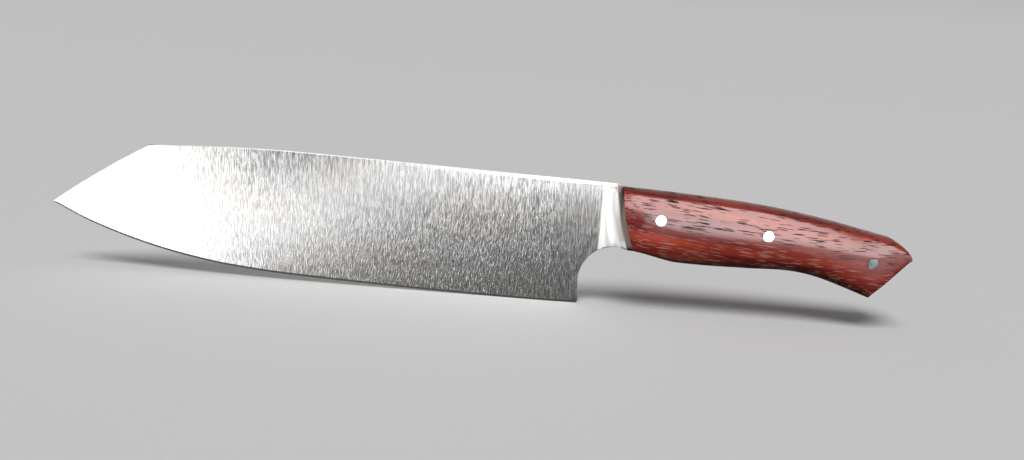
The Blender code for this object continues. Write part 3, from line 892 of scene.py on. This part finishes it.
GRAIN_SLOPE = 0.10
GRAIN_LEVELS_FROM = 100 * mm
GRAIN_LEVELLING = 1.1
STREAK_SIZES = (55, 6, 3.2)
STREAK_RANGE = (0.36, 0.64)
WOOD_TONES = ((0.100, 0.009, 0.008), (0.27, 0.036, 0.016))
FIBRE_SIZES = (14, 0.6, 0.34)
FIBRE_RANGE = (0.40, 0.75)
FIBRE_SHARE = 0.4
FIBRE_TONE = (0.055, 0.006, 0.005)
FIBRE_RELIEF = 0.05
BUTT_PLACES = (85 * mm, 150 * mm)
BUTT_SHARE = 0.40
BUTT_TONE = (0.06, 0.005, 0.005)
# Painted shade on the flat top of the wood
TOP_SHADE_PLACES = (62 * mm, 100 * mm)
TOP_SHADE_FACTORS = (0.38, 0.80)
TOP_SHADE_FACING = (0.6, 0.85)
CLUSTER_SIZES = (25, 5, 2.5)
CLUSTER_RANGE = (0.36, 0.52)
CLUSTER_FACTORS = (0.75, 1.0)
PORE_SIZES = ((9.5, 0.9, 0.48), (7.4, 0.8, 0.42))
PORE_CHANCE_RANGE = (0.46, 0.53)
PORE_REACH = 0.34
PORE_BORDER = 0.03
PORE_DEPTH = 0.10 * mm
# Dark pore colour, and a light one for painted glints in the pores of the lower side
PORE_AND_GLINT_TONES = ((0.004, 0.001, 0.001), (0.27, 0.105, 0.09))
GLINT_FACING = (0.01, -0.03)
GLINT_SHIFT_PLACES = (64 * mm, 72 * mm)
GLINT_SHIFT_AT_JOINT = 0.08
WOOD_ROUGHNESS = (0.24, 0.9)
WOOD_COAT = (0.5, 0.0)
WOOD_COAT_ROUGHNESS = 0.14


def red_hardwood():
    """Scales: deep red wood with orange streaks and open pores, under a polished finish."""
    s = Shader("red_hardwood", roughness=0.2, metallic=0.0)
    x, y, z = s.split(s.place)
    # The grain sinks slowly towards the butt and levels out there
    late = s.math("MAXIMUM", s.minus(x, GRAIN_LEVELS_FROM), 0.0)
    sink = s.minus(s.times(x, GRAIN_SLOPE), s.times(late, late, GRAIN_LEVELLING))
    grain = s.join(x, y, s.plus(z, sink))
    streaks = s.noise(s.scaled(grain, STREAK_SIZES), detail=3.0, roughness=0.6)
    fibres = s.noise(s.scaled(grain, FIBRE_SIZES))
    wood = s.blend(s.ramp(streaks, *STREAK_RANGE), *WOOD_TONES)
    wood = s.blend(s.ramp(fibres, *FIBRE_RANGE, 0.0, FIBRE_SHARE), wood, FIBRE_TONE)
    # The wood is darker towards the butt
    wood = s.blend(s.ramp(x, *BUTT_PLACES, 0.0, BUTT_SHARE), wood, BUTT_TONE)
    # The flat top is painted darker than the sides, most of all next to the joint: painted shade
    upward = s.upward()
    top_shade = s.ramp(x, *TOP_SHADE_PLACES, *TOP_SHADE_FACTORS)
    wood = s.multiply(wood, s.blend(s.ramp(upward, *TOP_SHADE_FACING), (1.0, 1.0, 1.0), top_shade))
    # Long pores lie along the grain, more of them where they cluster
    clusters = s.noise(s.scaled(grain, CLUSTER_SIZES), detail=1.0)
    gathering = s.ramp(clusters, *CLUSTER_RANGE, *CLUSTER_FACTORS)
    found = []
    for sizes in PORE_SIZES:
        distance, chance = s.cells(s.scaled(grain, sizes))
        reach = s.times(gathering, s.ramp(chance, *PORE_CHANCE_RANGE, 0.0, PORE_REACH))
        found.append(s.ramp(s.minus(reach, distance), 0.0, PORE_BORDER))
    pores = s.math("MAXIMUM", *found)
    # Pores of the upper side look dark, and those of the lower side are painted light: painted glints,
    # where light would catch their walls
    glint_shift = s.ramp(x, *GLINT_SHIFT_PLACES, GLINT_SHIFT_AT_JOINT, 0.0)
    lower = s.ramp(s.minus(upward, glint_shift), *GLINT_FACING)
    colour = s.blend(pores, wood, s.blend(lower, *PORE_AND_GLINT_TONES))
    height = s.minus(s.times(fibres, FIBRE_RELIEF), pores)
    roughness = s.fade(pores, *WOOD_ROUGHNESS)
    s.set(Base_Color=colour, Roughness=roughness, Normal=s.bump(height, PORE_DEPTH))
    s.set(Coat_Weight=s.fade(pores, *WOOD_COAT), Coat_Roughness=WOOD_COAT_ROUGHNESS)
    return s.material


# Pin steel: sizes along, across and up the handle in mm, and tones from start to end

SCRATCH_SIZES = (2.5, 0.6, 0.12)
SCRATCH_DEPTH = 0.005 * mm
SCRATCH_STRENGTH = 0.4
SCRATCH_RANGE = (0.3, 0.7)
PIN_ROUGHNESS = (0.08, 0.16)
PATCH_SIZES = (1.6, 1.6, 1.6)
PIN_TONES = ((0.40, 0.43, 0.46), (0.68, 0.73, 0.78))


def pin_steel():
    """Pins: ground flush with the wood and polished, with fine scratches along the handle."""
    s = Shader("pin_steel", roughness=0.2, metallic=1.0)
    scratches = s.noise(s.scaled(s.place, SCRATCH_SIZES))
    patches = s.noise(s.scaled(s.place, PATCH_SIZES))
    colour = s.blend(s.ramp(patches, *PATCH_RANGE), *PIN_TONES)
    roughness = s.ramp(scratches, *SCRATCH_RANGE, *PIN_ROUGHNESS)
    normal = s.bump(scratches, SCRATCH_DEPTH, SCRATCH_STRENGTH)
    s.set(Base_Color=colour, Roughness=roughness, Normal=normal)
    return s.material


# Pieces of the knife

def drill(piece):
    """Cuts the three holes for the pins."""
    for place in pin_points():
        apply_boolean(piece, "DIFFERENCE", rod("hole", place, PIN_DIAMETER / 2 + PIN_GAP))


def make_forging(material):
    forging = make_object("forging", skin("forging", forging_columns()))
    root = JOINT_FROM_HEEL - TANG_ROOT + BAND_WIDTH
    apply_boolean(forging, "UNION", prism("tang_bar", tang_outline(root, 0.0), TANG_THICKNESS / 2))
    drill(forging)
    finish_piece(forging, material, "blade_bolster_tang")


def make_scales(material):
    columns = handle_columns(JOINT_GAP)
    for name, side in (("left", -1), ("right", 1)):
        scale = make_object(f"scale_{name}", half_skin(f"scale_{name}", columns, side, SEAM_GAP / 2))
        pocket = prism("pocket", tang_outline(0.0, FIT), TANG_THICKNESS / 2 + FIT)
        apply_boolean(scale, "DIFFERENCE", pocket)
        drill(scale)
        finish_piece(scale, material, f"handle_scale_{name}")


def make_pins(material):
    blank = skin("blank", handle_columns(JOINT_GAP))
    for name, place in zip(("front", "middle", "rear"), pin_points()):
        pin = make_object(f"pin_{name}_polished", rod("pin", place, PIN_DIAMETER / 2))
        apply_boolean(pin, "INTERSECT", blank.copy())
        finish_piece(pin, material, f"pin_{name}")


# Camera: the photograph's viewing angle, which looks slightly down with the knife's tip raised

IMAGE_WIDTH = 1024
FOCAL_PIXELS = 845
SENSOR_WIDTH_MM = 36
NEAREST_VIEW = 10 * mm
CAMERA_ELEVATION = math.radians(11.5)
PITCH_IN_PICTURE = math.radians(4.6)
KNIFE_PITCH = math.atan(math.tan(PITCH_IN_PICTURE) / math.cos(CAMERA_ELEVATION))
CAMERA_PLACE = Vector((6.80, -329.49, 94.71)) * mm


def make_camera():
    pitch, elevation = KNIFE_PITCH, CAMERA_ELEVATION
    right = Vector((math.cos(pitch), 0, math.sin(pitch)))
    up = Vector((
        -math.sin(pitch) * math.cos(elevation),
        math.sin(elevation),
        math.cos(pitch) * math.cos(elevation),
    ))
    back = right.cross(up)
    camera = bpy.data.objects.new("camera", bpy.data.cameras.new("camera"))
    camera.data.sensor_width = SENSOR_WIDTH_MM
    camera.data.lens = SENSOR_WIDTH_MM * FOCAL_PIXELS / IMAGE_WIDTH
    camera.data.clip_start = NEAREST_VIEW
    turn = Matrix((right, up, back)).transposed().to_4x4()
    camera.matrix_world = Matrix.Translation(CAMERA_PLACE) @ turn
    scene.collection.objects.link(camera)
    scene.camera = camera


# Floor and world

FLOOR_RADIUS = 30.0
FLOOR_SIDES = 96
FLOOR_COLOUR = (0.72, 0.72, 0.72)
# Elevation in degrees and radiance
WORLD_RADIANCE = ((-40, 0.03), (-6, 0.08), (-1, 0.52), (4, 0.52), (22, 0.16))


def make_floor():
    bm = bmesh.new()
    bmesh.ops.create_circle(bm, cap_ends=True, segments=FLOOR_SIDES, radius=FLOOR_RADIUS)
    floor = make_object("floor", mesh_from("floor", bm))
    s = Shader("floor", roughness=0.9, metallic=0.0)
    s.set(Base_Color=FLOOR_COLOUR)
    floor.data.materials.append(s.material)
    # The knife stands before a dark room as in the photograph: it doesn't mirror the pale floor
    floor.visible_diffuse = False
    floor.visible_glossy = False
    floor.visible_shadow = False


def make_world():
    """Dim room that is lighter towards the horizon."""
    world = bpy.data.worlds.new("studio")
    scene.world = world
    world.use_nodes = True
    nodes, links = world.node_tree.nodes, world.node_tree.links
    place = nodes.new("ShaderNodeTexCoord")
    split = nodes.new("ShaderNodeSeparateXYZ")
    links.new(place.outputs["Generated"], split.inputs[0])
    ramp = nodes.new("ShaderNodeValToRGB")
    shifted = nodes.new("ShaderNodeMapRange")
    shifted.inputs["From Min"].default_value = -1.0
    links.new(split.outputs["Z"], shifted.inputs["Value"])
    links.new(shifted.outputs["Result"], ramp.inputs["Fac"])
    stops = ramp.color_ramp.elements
    while len(stops) < len(WORLD_RADIANCE):
        stops.new(0.5)
    for stop, (elevation, radiance) in zip(stops, WORLD_RADIANCE):
        stop.position = 0.5 + 0.5 * math.sin(math.radians(elevation))
        stop.color = (radiance, radiance, radiance, 1.0)
    links.new(ramp.outputs["Color"], nodes["Background"].inputs["Color"])


# Lights: azimuth 0 is in front of the knife's near side and positive ones lie towards its butt, angles
# are in degrees, and a panel of radiance 1 shows as white

PANEL_DISTANCE = 1.2
PANEL_CENTRE_HEIGHT = 0.03
# Watts per square metre of a panel of radiance 1
PANEL_POWER = 4
# Name, range of azimuths, range of elevations and radiance
STEEL_PANELS = (
    ("front_panel", (-1.5, 36), (-8.3, 38), 4.4),
    ("corner_panel", (-4.5, -1.5), (2, 38), 4.0),
    ("middle_left_panel", (-23, -12), (-16, -10), 1.9),
    ("middle_right_panel", (-12, -2), (-11.5, 0), 1.7),
    ("low_panel", (-60, 12), (-55, -14), 0.09),
    ("left_panel", (-60, -25.5), (-24, 6), 3.5),
    ("side_panel", (-115, -60), (-58, 40), 1.5),
    ("back_right_panel", (150, 176), (8, 50), 2.2),
    ("back_left_panel", (176, 210), (8, 50), 1.2),
    ("rear_left_panel", (208, 250), (-40, 6), 1.5),
    ("rear_right_panel", (110, 152), (-40, 6), 1.1),
)
REAR_WOOD_PANELS = (
    ("rear_wood_right_panel", (100, 138), (-36, 4), 1.5),
    ("rear_wood_left_panel", (222, 260), (-36, 4), 1.5),
)
FRONT_WOOD_PANELS = (
    ("wood_panel", (4, 41), (-8.3, 38), 4.4),
    ("wood_corner_panel", (-18, 4), (9, 54), 4.4),
)
OVERHEAD_PLACE = (0.0, -0.10, 1.2)
OVERHEAD_SIZE = (1.6, 2.2)
OVERHEAD_RADIANCE = 1.6
# Name, elevation, azimuth and strength
OPEN_SUN = ("high_light", 62, -10, 2.1)
WOOD_SUNS = (("wood_light", 42, 10, 4.7), ("rear_wood_light", 22, 170, 2.4))
SUN_SPREAD = math.radians(30)


def add_light(name, light, receivers):
    """Object of a light that shines on a collection of receivers, or on everything."""
    obj = bpy.data.objects.new(name, light)
    obj.light_linking.receiver_collection = receivers
    scene.collection.objects.link(obj)
    return obj


def add_area(name, width, height, radiance, receivers):
    light = bpy.data.lights.new(name, "AREA")
    light.shape = "RECTANGLE"
    light.size = width
    light.size_y = height
    light.energy = PANEL_POWER * radiance * width * height
    obj = add_light(name, light, receivers)
    obj.visible_camera = False
    return obj


def make_panels(panels, receivers, diffuse=True):
    """Flat light panels that face the knife, each filling a range of directions."""
    for name, azimuths, elevations, radiance in panels:
        azimuth = math.radians(sum(azimuths) / 2)
        width = 2 * PANEL_DISTANCE * math.tan(math.radians(azimuths[1] - azimuths[0]) / 2)
        low, high = (PANEL_DISTANCE * math.tan(math.radians(e)) for e in elevations)
        obj = add_area(name, width, high - low, radiance, receivers)
        towards = Vector((math.sin(azimuth), -math.cos(azimuth), 0.0))
        obj.rotation_euler = towards.to_track_quat("Z", "Y").to_euler()
        centre = Vector((0, 0, (high + low) / 2 + PANEL_CENTRE_HEIGHT))
        obj.location = towards * PANEL_DISTANCE + centre
        obj.visible_diffuse = diffuse


def make_sun(name, elevation, azimuth, strength, receivers):
    """Wide, distant light that isn't mirrored."""
    light = bpy.data.lights.new(name, "SUN")
    light.energy = strength
    light.angle = SUN_SPREAD
    obj = add_light(name, light, receivers)
    e, a = math.radians(elevation), math.radians(azimuth)
    towards_light = Vector((math.sin(a) * math.cos(e), -math.cos(a) * math.cos(e), math.sin(e)))
    obj.rotation_euler = towards_light.to_track_quat("Z", "Y").to_euler()
    obj.visible_glossy = False


def group_pieces(name, *starts):
    """Collection of the pieces whose names have one of these starts."""
    group = bpy.data.collections.new(name)
    for piece in list(scene.objects):
        if piece.name.startswith(starts):
            group.objects.link(piece)
    return group


def make_lights():
    """Each panel lights steel or wood alone, and the floor keeps the even light of sky and sun."""
    steel_pieces = group_pieces("steel_pieces", "forging", "pin_")
    wood_pieces = group_pieces("wood_pieces", "scale_")
    make_panels(STEEL_PANELS, steel_pieces)
    make_panels(REAR_WOOD_PANELS, wood_pieces)
    overhead = add_area("overhead_panel", *OVERHEAD_SIZE, OVERHEAD_RADIANCE, steel_pieces)
    overhead.location = OVERHEAD_PLACE
    # In front the wood only mirrors its panels, and distant lights from above give it its colour
    make_panels(FRONT_WOOD_PANELS, wood_pieces, diffuse=False)
    make_sun(*OPEN_SUN, None)
    for sun in WOOD_SUNS:
        make_sun(*sun, wood_pieces)


make_forging(satin_steel())
make_scales(red_hardwood())
make_pins(pin_steel())
make_camera()
make_floor()
make_world()
make_lights()
# Colours are shown as they are lit, without a film curve
scene.view_settings.view_transform = "Standard"
